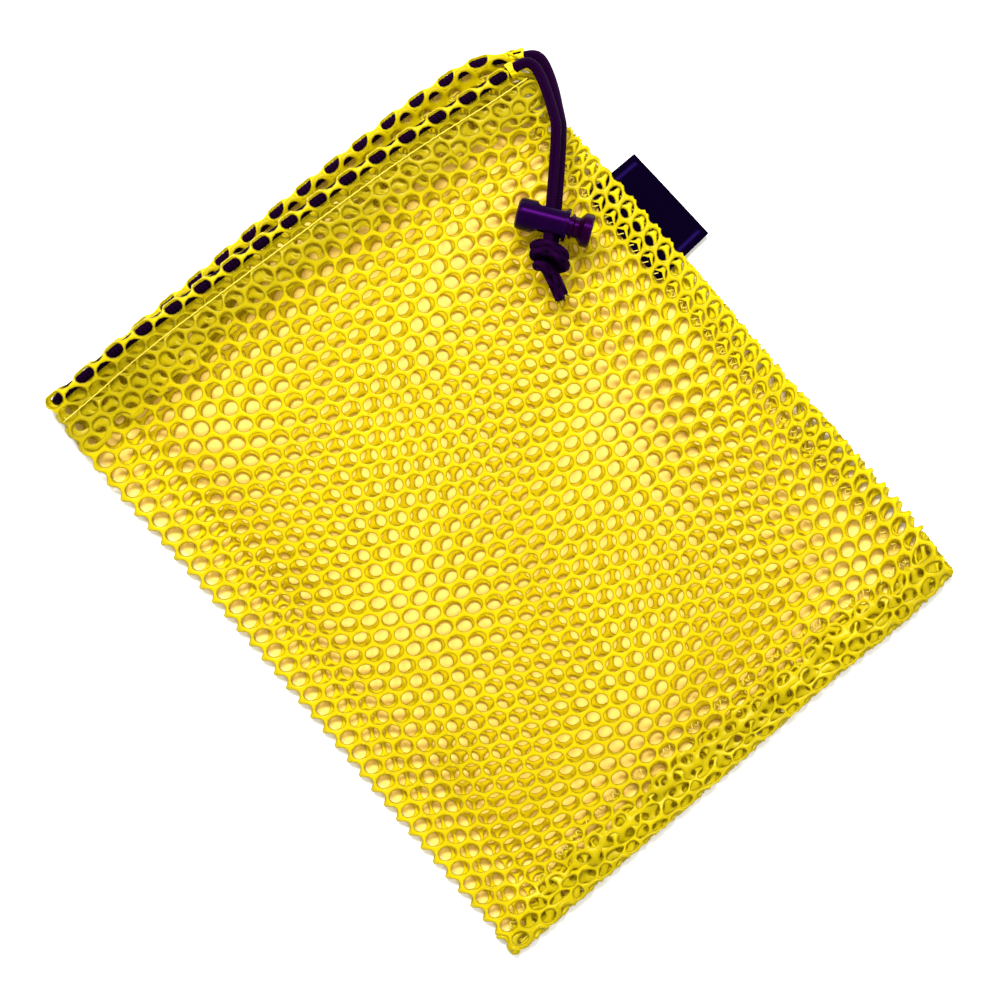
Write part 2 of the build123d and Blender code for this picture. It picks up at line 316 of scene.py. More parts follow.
def through(x, xs, ys):
    """A smooth curve through a few points, held level beyond the first and last."""
    xs, ys = np.asarray(xs, float), np.asarray(ys, float)
    x = np.clip(x, xs[0], xs[-1])
    slopes = np.gradient(ys, xs)
    k = np.clip(np.searchsorted(xs, x) - 1, 0, len(xs) - 2)
    run = xs[k + 1] - xs[k]
    t = (x - xs[k]) / run
    return ((2 * t**3 - 3 * t**2 + 1) * ys[k] + (t**3 - 2 * t**2 + t) * run * slopes[k]
            + (3 * t**2 - 2 * t**3) * ys[k + 1] + (t**3 - t**2) * run * slopes[k + 1])


def between(x, low, full, fall, end):
    """Rises from 0 at low to 1 at full, and falls from fall to 0 at end."""
    return smooth(x, low, full) * (1 - smooth(x, fall, end))


def heading(degrees):
    return cos(radians(degrees)), sin(radians(degrees)), 0


def smooth(x, low, high):
    t = np.clip((x - low) / (high - low), 0, 1)
    return t * t * (3 - 2 * t)


def distances(points):
    """How far along the line each of its points lies."""
    return np.concatenate([[0], np.cumsum(np.linalg.norm(np.diff(points, axis=0), axis=1))])


def points_at(places, points):
    """Points on the line at set distances along it."""
    along = distances(points)
    return np.stack([np.interp(places, along, points[:, k]) for k in range(3)], axis=1)


# ==== Cords: the camera and the cords come first ====

CORD_R = 1.9
SLIDE_START = Vector((71.5, 57.95, 14.4))
SLIDE_ANGLE = 45  # degrees: direction of the two strands where the cord lock slides
SLIDE_DIR = Vector(heading(SLIDE_ANGLE))
SLIDE_SIDE = Vector(heading(SLIDE_ANGLE - 90))
UP = Vector((0, 0, 1))
STRAIGHT_END = 36.0  # the strands run straight up to here, from SLIDE_START
STRAND_ACROSS = 1.0  # each strand's offset from the slide line, across and up or down
STRAND_UP = 1.74
KNOT_AT = -7.3  # place of the knot's middle on the slide line
KNOT_L = 10.6
KNOT_CENTRE = SLIDE_START + SLIDE_DIR * KNOT_AT
OUTER_ROUTE = [
    (104.6, 112.7, 2.9), (107.9, 111.3, 2.9), (109.4, 108.2, 3.2), (108.2, 103.2, 4.0),
    (105.4, 96.6, 6.2), (101.4, 89.6, 9.6),
]
INNER_ROUTE = [
    (98.5, 110.9, 9.3), (102.9, 110.63, 9.3), (105.2, 107.9, 9.6), (104.6, 103.0, 10.3),
    (102.0, 96.0, 12.2), (99.0, 89.4, 14.7),
]


def strand_offset(sign):
    return SLIDE_SIDE * (STRAND_ACROSS * sign) - UP * (STRAND_UP * sign)


def strand_route(route, sign):
    bend = SLIDE_START + SLIDE_DIR * STRAIGHT_END + strand_offset(sign)
    end = KNOT_CENTRE + SLIDE_DIR * (KNOT_L / 2) + strand_offset(sign)
    return [*route, tuple(bend), tuple(end)]


def spline_points(route, spacing=0.14):
    """Points along the NURBS spline whose control points are the route, a set distance apart, in mm."""
    data = bpy.data.curves.new("route", "CURVE")
    data.dimensions = "3D"
    data.resolution_u = 24
    spline = data.splines.new("NURBS")
    spline.points.add(len(route) - 1)
    for point, place in zip(spline.points, route):
        point.co = (*place, 1.0)
    spline.order_u = 3
    spline.use_endpoint_u = True
    carrier = placed("route", data)
    line = bpy.data.meshes.new_from_object(carrier)
    points = np.array([vertex.co for vertex in line.vertices])
    bpy.data.objects.remove(carrier)
    length = distances(points)[-1]
    return points_at(np.linspace(0, length, max(4, int(length / spacing))), points)


def carried_frames(points):
    """Two directions across the line at each point, carried along without twist."""
    tangents = np.gradient(points, axis=0)
    tangents /= np.linalg.norm(tangents, axis=1)[:, None]
    side = np.cross(tangents[0], (0.0, 0.0, 1.0))
    if np.linalg.norm(side) < 0.1:
        side = np.cross(tangents[0], (0.0, 1.0, 0.0))
    sides = []
    for tangent in tangents:
        side = side - tangent * np.dot(side, tangent)
        side /= np.linalg.norm(side)
        sides.append(side)
    sides = np.array(sides)
    return sides, np.cross(tangents, sides)


def braided_tube(points, radius, carriers=8, around=20, lay=1.5, relief=0.06, ends=(0.0, 0.0),
                 pressed=None):
    """A closed tube whose surface has the over and under ribs of a braid, and how high each of its
    points lies on them. ends rounds its tips, and pressed flattens it, by a share at each point."""
    sides, ups = carried_frames(points)
    along = distances(points)
    theta = np.linspace(0, 2 * pi, around, endpoint=False)
    angle, place = np.meshgrid(theta, along)
    left = np.sin(carriers / 2 * (angle + 2 * pi * place / (lay * 2)))
    right = np.sin(carriers / 2 * (angle - 2 * pi * place / (lay * 2)))
    weave = np.maximum(np.abs(left), np.abs(right)) - 0.75
    swell = radius * (1 - relief * 0.5 + relief * 2.2 * weave)
    tip = np.ones_like(along)
    for length, distance in ((ends[0], along), (ends[1], along[-1] - along)):
        if length:
            inwards = np.clip(distance / length, 0, 1)
            tip = np.minimum(tip, np.sqrt(np.clip(1 - (1 - inwards) ** 2, 0.02, 1)))
    swell = swell * tip[:, None]
    height = np.ones(len(points)) if pressed is None else 1 - pressed
    rings = (points[:, None, :] + sides[:, None, :] * (np.cos(angle) * swell)[..., None]
             + ups[:, None, :] * (np.sin(angle) * swell * height[:, None])[..., None])
    vertices = rings.reshape(-1, 3).tolist()
    # painted highlight: a share for the lighter colour on the braid's highest crests
    crest_highlight = np.clip(weave * 8 - 0.8, 0, 1).reshape(-1).tolist() + [0.0, 0.0]
    count = len(points)
    faces = tube_faces(count, around).reshape(-1, 4).tolist()
    for ring, order in ((0, -1), (count - 1, 1)):
        centre = len(vertices)
        vertices.append(points[ring].tolist())
        for k in range(around):
            pair = (ring * around + k, ring * around + (k + 1) % around)
            faces.append((centre, *pair[::order]))
    return vertices, faces, crest_highlight


def join(name, parts, material, node):
    """One piece from several closed tubes, in place of a CAD node."""
    vertices, faces, crest_highlights = [], [], []
    for part_vertices, part_faces, crest_highlight in parts:
        start = len(vertices)
        vertices.extend(part_vertices)
        faces.extend(tuple(index + start for index in face) for face in part_faces)
        crest_highlights.extend(crest_highlight)
    piece = mesh_object(name, vertices, faces, material, marks=[("crest_highlight", crest_highlights)])
    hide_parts(node)
    return piece


outer_points = spline_points(strand_route(OUTER_ROUTE, 1))
inner_points = spline_points(strand_route(INNER_ROUTE, -1))

GRIP_REACH = 33.0  # how far from the knot the lock has flattened the strands
GRIP_FADE = 5
GRIP = 0.14  # and by what share of their height


def gripped(points):
    """By what share a strand is flattened at each of its points."""
    to_knot = distances(points[::-1])[::-1]
    return GRIP * (1 - smooth(to_knot, GRIP_REACH, GRIP_REACH + GRIP_FADE))


outer_strand = join("strand_outer", [braided_tube(outer_points, CORD_R, pressed=gripped(outer_points))],
                    CORD, "drawcord_strand_outer")
inner_strand = join("strand_inner", [braided_tube(inner_points, CORD_R, pressed=gripped(inner_points))],
                    CORD, "drawcord_strand_inner")


# ---- Knot and tails ----
KNOT_CORD_R = 1.85  # the cord is pulled tight there
TAIL_END = Vector((60.9, 39.4, 0))
FRAY_HAIRS = 9
FRAY_R = 0.14


def in_knot(across, along, up):
    """A point in the knot's own directions, in mm from its middle."""
    return tuple(KNOT_CENTRE + SLIDE_SIDE * across + SLIDE_DIR * along + UP * up)


def knot_routes():
    """Two cords side by side that enter, turn once round themselves on a slant, and leave."""
    one = [in_knot(*p) for p in (
        (1.0, 5.4, -1.7), (1.2, 3.0, -1.6), (-1.8, 0.2, -2.8), (-5.6, -0.2, -0.4), (-4.8, 2.0, 2.6),
        (0.4, 1.8, 4.3), (4.8, -1.0, 2.8), (5.9, -2.8, -0.8), (2.6, -3.2, -3.6), (-1.0, -3.0, -1.8),
        (0.2, -5.6, -1.2))]
    two = [in_knot(*p) for p in (
        (-1.0, 5.4, 1.7), (-0.6, 3.6, 1.8), (-2.6, 3.4, -2.2), (-6.2, 3.2, 0.2), (-3.4, 4.4, 3.2),
        (2.2, 3.2, 3.2), (5.6, 1.0, 0.8), (3.6, -0.6, -3.2), (-2.2, -3.0, -2.8), (-4.6, -3.2, 1.4),
        (-1.0, -3.4, 3.4), (0.4, -5.6, 1.8))]
    return one, two


knot = join("overhand_knot",
            [braided_tube(spline_points(route, 0.18), KNOT_CORD_R) for route in knot_routes()],
            CORD, "drawcord_knot")


def tail_route(sign):
    """From inside the knot to the cut end, drooping towards the net."""
    start = KNOT_CENTRE - SLIDE_DIR * 4.0 + SLIDE_SIDE * (1.0 * sign) - UP * (1.2 * sign)
    middle = Vector((63.2 + 0.9 * sign, 47.0, 12.6 - 1.5 * sign))
    end = Vector((TAIL_END.x + 1.0 * sign, TAIL_END.y + 0.4 * sign, 11.9 - 1.6 * sign))
    return [tuple(start), tuple(middle), tuple(end)]


def frayed_tail(sign):
    points = spline_points(tail_route(sign), 0.18)
    parts = [braided_tube(points, CORD_R, ends=(0, 0.5))]
    onward = points[-1] - points[-6]
    onward /= np.linalg.norm(onward)
    across = np.cross(onward, (0, 0, 1))
    for k in range(FRAY_HAIRS):
        turn = 2 * pi * k / FRAY_HAIRS + sign
        root = points[-1] + (across * cos(turn) + np.array((0, 0, 1)) * sin(turn)) * 1.2 - onward * 0.4
        reach = onward * (0.7 + 0.5 * ((k * 5) % 4) / 3) + across * cos(turn) * 0.35
        hair = np.array([root, root + reach * 0.5, root + reach])
        parts.append(braided_tube(hair, FRAY_R, around=5, relief=0.0))
    return parts


tail_outer = join("tail_outer", frayed_tail(1), CORD, "drawcord_tail_outer")
tail_inner = join("tail_inner", frayed_tail(-1), CORD, "drawcord_tail_inner")

# ==== The net's surface ====
# Fabric coordinates in mm: a across from the left fold (positive on the front,
# negative on the back), b up from the bottom seam.

NET_T = 1.0
COLUMN = 6.12  # between two columns of holes, and PITCH between two holes in a column
PITCH = 6.6
HOLE_R = 2.52
HOLE_STRETCH = (1.16, 1.0)  # the holes' long way and across it
HOLE_LEAN = -14.0  # degrees from across the bag to the holes' long way
HEM_HOLE_R = 2.72
PLY_HOLE_R = 1.95  # the turned-in plies lie gathered, with their holes half closed
EDGE_ROUND = 0.34  # of the holes' edges
SIDE_ALLOWANCE = 12.0  # how wide the side seam's turned-in plies are
FOLD_R = 1.25  # of the left fold, low down
SEAM_R = 0.55  # of the plies turned in at the seams
BACK_Z = 0.5  # of the back layer's middle surface
SEAM_TOP_Z = 4.3  # of the front layer's, over the seams
DOME_Z = 2.0  # and where the front layer's loft starts
DOME_LOFT = 8.4
CASING_R = 2.4  # from the cord's middle to the casing's middle surface
CASING_OUT = 4.9  # from the stitch line to the cord's middle
CASING_WIDER = 2.1  # more of that towards the left fold
CASING_ARC = radians(238)  # how far the net goes round the cord
FRONT_STITCH_RISE = -1.5  # of the outer ply at the stitch line, away from the bag's middle plane
BACK_STITCH_RISE = 2.4
PLY_UNDER = 1.1  # from there down to the inner ply
FRONT_CORD_Z = 9.3  # the cord's middle at the front hem's ends
FRONT_CORD_RISE = 4.5  # and how much higher it lies over the open mouth
BACK_CORD_Z = 2.9
MID_Y = 123  # from the bottom seam to the frame's middle, about


# ---- The bag's outline, and the hems' stitch lines ----
def left_edge(y):
    return through(y, (-125, -60, 0, 60, 97, 118, 128),
                   (-97.5, -98.5, -98.5, -99.5, -100.6, -99.1, -98.4))


def right_edge(y):
    return through(y, (-118, -104, -60, 0, 40, 80, 100, 112),
                   (104.2, 105.4, 104.5, 103.1, 102.4, 101.3, 101.6, 103.8))


def bottom_edge(x):
    return through(x, (-96, -50, 0, 50, 90, 104),
                   (-124.2, -123.2, -122.6, -121.4, -121.4, -120.0))


def front_stitch(x):
    return through(x, (-99, -67, -18, 31, 65, 88, 103),
                   (117.6, 117.6, 115.7, 112.9, 110.0, 107.2, 105.4))


def back_stitch(x):
    return through(x, (-99, -40, 20, 46, 70, 94, 105),
                   (117.9, 120.1, 120.7, 119.9, 118.8, 114.6, 107.9))


def casing_more(x):
    """How much wider the casing is towards the left fold."""
    return CASING_WIDER * (1 - smooth(x, -96, -25))


def front_cord_z(x):
    """Height of the cord's middle in the front hem."""
    return FRONT_CORD_Z + FRONT_CORD_RISE * between(x, FRONT_HEM_LOW[0] + 12, -55, 33,
                                                    FRONT_HEM_HIGH[0] - 9)


def turn_over(t, radius):
    """Past an edge at t = 0 the net turns over: (how far it still reaches, how far it has dropped)."""
    angle = np.clip(t / radius, 0, pi)
    reach = np.where(t <= 0, t, np.where(t < pi * radius, radius * np.sin(angle), pi * radius - t))
    return reach, radius * (1 - np.cos(angle))


def waves(x, y, seed, size):
    """Smooth low unevenness, the same each run."""
    total = 0
    for k in range(4):
        turn = seed + 2.4 * k
        pitch = 31.0 + 17.0 * k
        total = total + np.sin((x * cos(turn) + y * sin(turn)) * 2 * pi / pitch + 3.1 * seed + k)
    return size * total / 4


RIDGE = 0.6  # height of the creases along the bottom seam
RIDGE_PITCH = 6.8


def front_height(x, y, stitch_y):
    """Height of the front layer's middle surface between fold, seams and hem."""
    left = smooth(x, left_edge(y), -55)
    right = 1 - smooth(x, 30, right_edge(y) - 9)
    low = smooth(y, bottom_edge(x) + 10, -75)
    dome = DOME_Z + DOME_LOFT * left * low * right
    seam = (SEAM_TOP_Z - DOME_Z) * np.maximum(1 - low, smooth(x, 30, 92)) * smooth(x, -96, -86)
    top = smooth(y, stitch_y - 34, stitch_y)
    hem = front_cord_z(x) - 1.5
    rumple = 1.1 * smooth(y, bottom_edge(x) + 1.5, bottom_edge(x) + 7) * (1 - smooth(y, -106, -96)) * left
    dome = dome + rumple * (waves(x * 3.1, y * 2.2, 8.2, 1.0) + 0.6)
    above = y - bottom_edge(x)
    band = between(above, 0.5, 3, 11, 18) * smooth(x, -96, -70)
    dome = dome + RIDGE * band * np.sin(2 * pi * (above + waves(x * 1.4, y, 2.7, 3.0)) / RIDGE_PITCH)
    return (dome + seam) * (1 - top) + hem * top


SAG = {"grid": None}


def sag(a, b):
    """What the cloth simulation added to the front layer, in mm."""
    if SAG["grid"] is None:
        return np.zeros((*np.shape(a), 3))
    grid, a0, b0, step_a, step_b = (SAG[k] for k in ("grid", "a0", "b0", "step_a", "step_b"))
    rows, columns = grid.shape[:2]
    i = np.clip((b - b0) / step_b, 0, rows - 1.001)
    j = np.clip((a - a0) / step_a, 0, columns - 1.001)
    i0, j0 = i.astype(int), j.astype(int)
    u, v = (i - i0)[..., None], (j - j0)[..., None]
    u, v = u * u * (3 - 2 * u), v * v * (3 - 2 * v)
    return ((grid[i0, j0] * (1 - v) + grid[i0, j0 + 1] * v) * (1 - u)
            + (grid[i0 + 1, j0] * (1 - v) + grid[i0 + 1, j0 + 1] * v) * u)


def hem_profile(t, side, out_to_cord):
    """The casing's section: outwards from the stitch line and away from the bag's middle plane, for
    a place t past the stitch line. side is 1 on the front and -1 on the back."""
    rise = np.where(side > 0, FRONT_STITCH_RISE, BACK_STITCH_RISE)
    inner = rise - PLY_UNDER
    first = np.hypot(out_to_cord, 1.0) * 0.86
    arc = CASING_R * CASING_ARC
    second = first * 1.02
    angle_1 = CASING_ARC / 2
    on_1 = np.clip(t / first, 0, 1)
    start = (out_to_cord + CASING_R * cos(angle_1), CASING_R * sin(angle_1))
    turned = np.clip((t - first) / arc, 0, 1) * CASING_ARC
    ring = (out_to_cord + CASING_R * np.cos(angle_1 - turned), CASING_R * np.sin(angle_1 - turned))
    stop = (start[0], -start[1])
    on_2 = np.clip((t - first - arc) / second, 0, 1)
    past = np.maximum(t - first - arc - second, 0)
    ease = on_1 * on_1 * (3 - 2 * on_1) * 0.35 + on_1 * 0.65
    out = np.where(t < first, start[0] * on_1, np.where(t < first + arc, ring[0], stop[0] * (1 - on_2)))
    away = np.where(t < first, rise + (start[1] - rise) * ease,
                    np.where(t < first + arc, ring[1], stop[1] + (inner - stop[1]) * on_2))
    return out - past, away


FABRIC_TOP = 242.0  # from the bottom seam to the hem's stitch line
DRAWN_DOWN = 60.0  # how far below the hem its pull is felt
CROWD_FADE = 15.0  # how far above the bottom seam the net lies crowded
HEM_PLY_AT = 14.0  # from the stitch line over the fold, to where the hem's inner ply starts
HEM_ALLOWANCE = 15.0  # how deep the hem's inner ply hangs below the stitch line
HEM_RETURN = CASING_OUT * 2 * 0.88 + CASING_R * CASING_ARC  # back at the stitch line


def stitch_b(x):
    """Where the hem's stitch line lies on the fabric."""
    return FABRIC_TOP - casing_more(x)


def flat_y(x, b, stitch):
    """Height up the bag of a place on the fabric. Below the hem the net is pulled down a little, as
    its rows follow the hem's stitch line and not the bottom seam."""
    low = bottom_edge(x)
    crowded = crowd_depth(x) * (1 - np.exp(-np.maximum(b, 0) / CROWD_FADE))
    top = stitch_b(x)
    drawn = (stitch - low - top + crowd_depth(x)) * smooth(b, top - DRAWN_DOWN, top)
    return low + b - crowded + drawn


def crowd_depth(x):
    """How much fabric the loose fold over the bottom seam takes up."""
    return through(x, (-96, -70, -20, 40, 80, 104), (0.5, 4.5, 8.5, 8.0, 5.5, 1.0))


PULLED = 1.0098  # how much the net is pulled sideways between the fold and the side seam


def surface(a, b):
    """The middle surface of the whole folded sheet, in mm."""
    side = np.where(a >= 0, 1.0, -1.0)
    a = a * PULLED
    width_a = np.abs(a)
    y_guess = bottom_edge(left_edge(b - MID_Y) + width_a) + np.clip(b, 0, FABRIC_TOP)
    x_left, x_right = left_edge(y_guess), right_edge(y_guess)
    reach, drop_side = turn_over(width_a - (x_right - x_left), SEAM_R)
    over = width_a - (x_right - x_left) - reach
    x_flat = x_left + width_a - over
    rise, drop_bottom = turn_over(-b, SEAM_R)
    stitch = np.where(side > 0, front_stitch(x_flat), back_stitch(x_flat))
    y_flat = flat_y(x_flat, np.where(b < 0, -rise, b), stitch)
    past = b - stitch_b(x_flat)
    hem_on = past > 0
    out, away = hem_profile(np.maximum(past, 0), side, CASING_OUT + casing_more(x_flat))
    y = np.where(hem_on, stitch + out, y_flat)
    # heights away from the left fold
    panel_z = np.where(side > 0, front_height(x_flat, np.minimum(y_flat, stitch), stitch), BACK_Z)
    cord_z = np.where(side > 0, front_cord_z(x_flat), BACK_CORD_Z)
    z = np.where(hem_on, cord_z + side * away, panel_z)
    z = z - side * (drop_side + drop_bottom)
    # the fold: the sheet runs round a half circle that grows towards the hem
    hem_share = smooth(y_flat, stitch - 40, stitch)
    cord_turn_r = (FRONT_CORD_Z - BACK_CORD_Z) / 2
    fold_r = FOLD_R + cord_turn_r * 0.55 * hem_share
    fold_r = np.where(hem_on, cord_turn_r + np.clip(away, -2.2, 3.0), fold_r)
    middle_z = np.where(hem_on, (FRONT_CORD_Z + BACK_CORD_Z) / 2, BACK_Z + fold_r)
    middle_z = np.where(hem_on, middle_z, middle_z + hem_share * 1.2)
    turn = np.clip(a / fold_r, -pi / 2, pi / 2)
    bend_x = x_left + fold_r * (1 - np.cos(turn))
    bend_z = middle_z + fold_r * np.sin(turn)
    blend_on = smooth(width_a, fold_r * pi / 2, fold_r * pi / 2 + 7.0)
    straight_x = x_flat - fold_r * (pi / 2 - 1) * (1 - smooth(width_a, 0, 30))
    x = np.where(width_a < fold_r * pi / 2, bend_x, straight_x)
    z = np.where(width_a < fold_r * pi / 2, bend_z, bend_z * (1 - blend_on) + z * blend_on)
    points = np.stack([x, y, z], axis=-1)
    points[..., 2] += np.where(side > 0, 0, 1) * waves(x, y, 1.7, 0.15) * smooth(width_a, 5, 20)
    inside = (side > 0) & (b > 0) & (past < 0) & (over < 0.01)
    points += sag(a, b) * inside[..., None]
    return points


PLY_SHIFT = 3.1  # a turned-in ply has crept sideways, so its strands cross the holes above it


def ply_creep(b):
    return PLY_SHIFT * (smooth(b - FABRIC_TOP, 9, 15) + smooth(-b, 0, 4))


def front_fabric(a, b):
    """The front layer's own slight unevenness in its plane."""
    across = a + waves(a, b, 0.6, 0.35) * smooth(np.abs(a), 2, 20) + ply_creep(b) * smooth(a, 2, 12)
    near_seam = between(b, 0, 4, 14, 28) * smooth(a, 4, 30)
    near_hem = between(FABRIC_TOP - b, 0, 3, 9, 17) * smooth(a, 20, 70) * 0.7
    creased = near_seam + near_hem
    across = across + waves(a * 3.6, b * 3.1, 3.9, 1.9) * creased
    return across, b + waves(a, b, 2.1, 0.3) + waves(a * 3.3, b * 3.7, 9.1, 1.9) * creased


BACK_TURN = 0.07  # of the back layer in its plane, in radians
BACK_TURN_AT = (129.0, 207.0)  # round this place on the fabric
BACK_STRETCH = 0.018


def back_fabric(a, b):
    """The back layer lies a little skewed to the front, so its holes drift across the front's."""
    width_a = np.abs(a)
    free = smooth(width_a, 0, 40) * smooth(FABRIC_TOP - b, 0, 40)
    across = width_a + (BACK_TURN * (b - BACK_TURN_AT[1]) + waves(a, b, 3.3, 0.5)) * free
    across = across - ply_creep(b) * smooth(width_a, 2, 12) * 0.6
    up = b + (BACK_STRETCH * (b - BACK_TURN_AT[1]) - BACK_TURN * (width_a - BACK_TURN_AT[0])
              + waves(a, b, 4.2, 0.4)) * free
    return -across, up


def net_surface(a, b, height, fabric):
    """Points a set height off the middle surface."""
    step = 0.25  # for the surface's slopes
    fa, fb = fabric(a, b)
    centre = surface(fa, fb)
    du = surface(*fabric(a + step, b)) - surface(*fabric(a - step, b))
    dv = surface(*fabric(a, b + step)) - surface(*fabric(a, b - step))
    normal = np.cross(du, dv)
    length = np.linalg.norm(normal, axis=-1, keepdims=True)
    normal = normal / np.maximum(length, 1e-9)
    return centre + normal * np.asarray(height)[..., None]


# ---- The net: one hexagonal cell round each hole, side by side ----
def cell_border():
    """Corners and edge middles of the cell that each hole sits in, anticlockwise."""
    corner_x = (COLUMN**2 + PITCH**2 / 4) / (2 * COLUMN)
    top_x = (COLUMN**2 - PITCH**2 / 4) / (2 * COLUMN)
    corners = np.array([(corner_x, 0), (top_x, PITCH / 2), (-top_x, PITCH / 2),
                        (-corner_x, 0), (-top_x, -PITCH / 2), (top_x, -PITCH / 2)])
    middles = (corners + np.roll(corners, -1, axis=0)) / 2
    return np.stack([corners, middles], axis=1).reshape(-1, 2)


BORDER = cell_border()
RING = BORDER / np.linalg.norm(BORDER, axis=1)[:, None]


def leaning_ellipse(ring):
    """The ring stretched along the holes' long way."""
    lean = radians(HOLE_LEAN)
    along, across = np.array((cos(lean), sin(lean))), np.array((-sin(lean), cos(lean)))
    return (np.outer(ring @ along, along) * HOLE_STRETCH[0]
            + np.outer(ring @ across, across) * HOLE_STRETCH[1])


def lattice(first_column, last_column, first_row, last_row):
    """The holes' middles on the flat fabric."""
    centres = [(i * COLUMN, (j + 0.5 * (i % 2)) * PITCH)
               for i in range(first_column, last_column + 1) for j in range(first_row, last_row + 1)]
    return np.array(centres)


def net_mesh(centres, fabric, thickness=NET_T, hole_r=HOLE_R, extra=None):
    """Vertices and faces of a closed net: flat strands with rounded hole edges."""
    count, around = len(centres), len(BORDER)
    border = centres[:, None, :] + BORDER
    keys = np.round(border * 50).astype(int).reshape(-1, 2)
    unique, first, index = np.unique(keys, axis=0, return_index=True, return_inverse=True)
    flat_border = border.reshape(-1, 2)[first]
    index = index.reshape(count, around)
    half = thickness / 2
    # the third value of each level is its share of the painted shade in the hole walls
    levels = [(hole_r + EDGE_ROUND, half * 0.9, 0.3), (hole_r, half * 0.45, 1.0),
              (hole_r, -half * 0.45, 1.0), (hole_r + EDGE_ROUND, -half * 0.9, 0.3)]
    stretched = leaning_ellipse(RING)
    plane, height = [flat_border, flat_border], [np.full(len(flat_border), half * 0.96)]
    height.append(-height[0])
    wall_shade = [np.zeros(2 * len(flat_border))]
    for radius, level, wall_shade_share in levels:
        plane.append((centres[:, None, :] + stretched * radius).reshape(-1, 2))
        height.append(np.full(count * around, level))
        wall_shade.append(np.full(count * around, wall_shade_share))
    plane, height, wall_shade = np.concatenate(plane), np.concatenate(height), np.concatenate(wall_shade)
    points = net_surface(plane[:, 0], plane[:, 1], height, fabric)
    if extra is not None:
        points = points + extra(points, plane)
    size = len(flat_border)
    rings = [2 * size + k * count * around + np.arange(count * around).reshape(count, around)
             for k in range(4)]
    loops = [index, *rings, index + size]
    faces = []
    for upper, lower in zip(loops, loops[1:]):
        quads = np.stack([upper, np.roll(upper, -1, 1), np.roll(lower, -1, 1), lower], axis=-1)
        faces.append(quads.reshape(-1, 4))
    edges = np.stack([index, np.roll(index, -1, 1)], axis=-1).reshape(-1, 2)
    _, owner, uses = np.unique(np.sort(edges, axis=1), axis=0, return_inverse=True, return_counts=True)
    rim = edges[uses[owner.reshape(-1)] == 1]
    faces.append(np.stack([rim[:, 1], rim[:, 0], rim[:, 0] + size, rim[:, 1] + size], axis=-1))
    return points, np.concatenate(faces), wall_shade


SEAM_SHADE = 0.05  # painted shade, darkening the net over the crowded plies of the bottom seam
HEM_SHADE = 0.34  # and below the hem's stitch line


def net_piece(name, centres, fabric, material, nodes=(), **shape):
    """A piece of net with painted shade in its hole walls, and more painted shade over the seams' and
    hem's plies.
    """
    points, faces, wall_shade = net_mesh(centres, fabric, **shape)
    above = points[:, 1] - bottom_edge(points[:, 0])
    below = front_stitch(points[:, 0]) - points[:, 1]
    # painted shade over the bottom seam's plies and below the hem's stitch line, added to the wall shade
    wall_shade = wall_shade + SEAM_SHADE * (1 - smooth(above, 3, turned_depth(points[:, 0]) + 3))
    wall_shade = np.clip(wall_shade + HEM_SHADE * smooth(below, -4, 0) * (1 - smooth(below, 8, 16)), 0, 1)
    piece = mesh_object(name, points, faces, material, marks=[("wall_shade", wall_shade)])
    if nodes:
        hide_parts(*nodes)
    return piece


# ---- Where each cell belongs ----
STITCH_END_X = 103  # where the hem's stitch lines end


def where(centres, fabric):
    """How far up the fabric, past the side seam and past the hem's stitch line each hole lies."""
    a, b = fabric(centres[:, 0], centres[:, 1])
    x = left_edge(b - MID_Y) + np.abs(a) * PULLED
    stitch = np.where(centres[:, 0] >= 0, front_stitch(x), back_stitch(np.minimum(x, STITCH_END_X)))
    y = flat_y(x, np.clip(b, 0, FABRIC_TOP), stitch)
    past_side = np.abs(a) * PULLED - (right_edge(y) - left_edge(y))
    return b, past_side, b - stitch_b(x), x


def split(centres, fabric, bottom_depth, hem_end):
    """Cells of the panel, the hem, its inner ply, and the plies that the two seams turn in."""
    b, past_side, past_stitch, x = where(centres, fabric)
    panel = (b > 0.5) & (past_side < 0.5) & (past_stitch < 0)
    ply_from = HEM_PLY_AT + casing_more(x)
    ply_to = HEM_RETURN + 2 * casing_more(x) + HEM_ALLOWANCE - 2
    hem = (past_stitch >= 0) & (past_stitch < ply_from) & (x < hem_end)
    hem_ply = (past_stitch >= ply_from) & (past_stitch < ply_to) & (x < hem_end)
    side = (past_side >= 0.5) & (past_side < SIDE_ALLOWANCE) & (past_stitch < -2) & (b > 0.5)
    bottom = (b <= 0.5) & (b > -bottom_depth(x)) & (past_side < 0.5)
    return [centres[chosen] for chosen in (panel, hem, hem_ply, side, bottom)]


def turned_depth(x):
    """The bottom seam's allowance: narrow at its ends, wider along the middle."""
    return through(x, (-96, -60, 0, 60, 104), (8.0, 17.0, 20.0, 18.0, 14.0))


# ==== The front layer's sag, from a cloth simulation of its coarse sheet ====

SIM_COLUMNS, SIM_ROWS = 44, 52
SIM_FRAMES = 22
SAG_CAP = 2.2  # mm
SIM_ACROSS = (8.0, 198)  # of the fabric, from the left fold
SIM_UP = (4, 236)  # and from the bottom seam


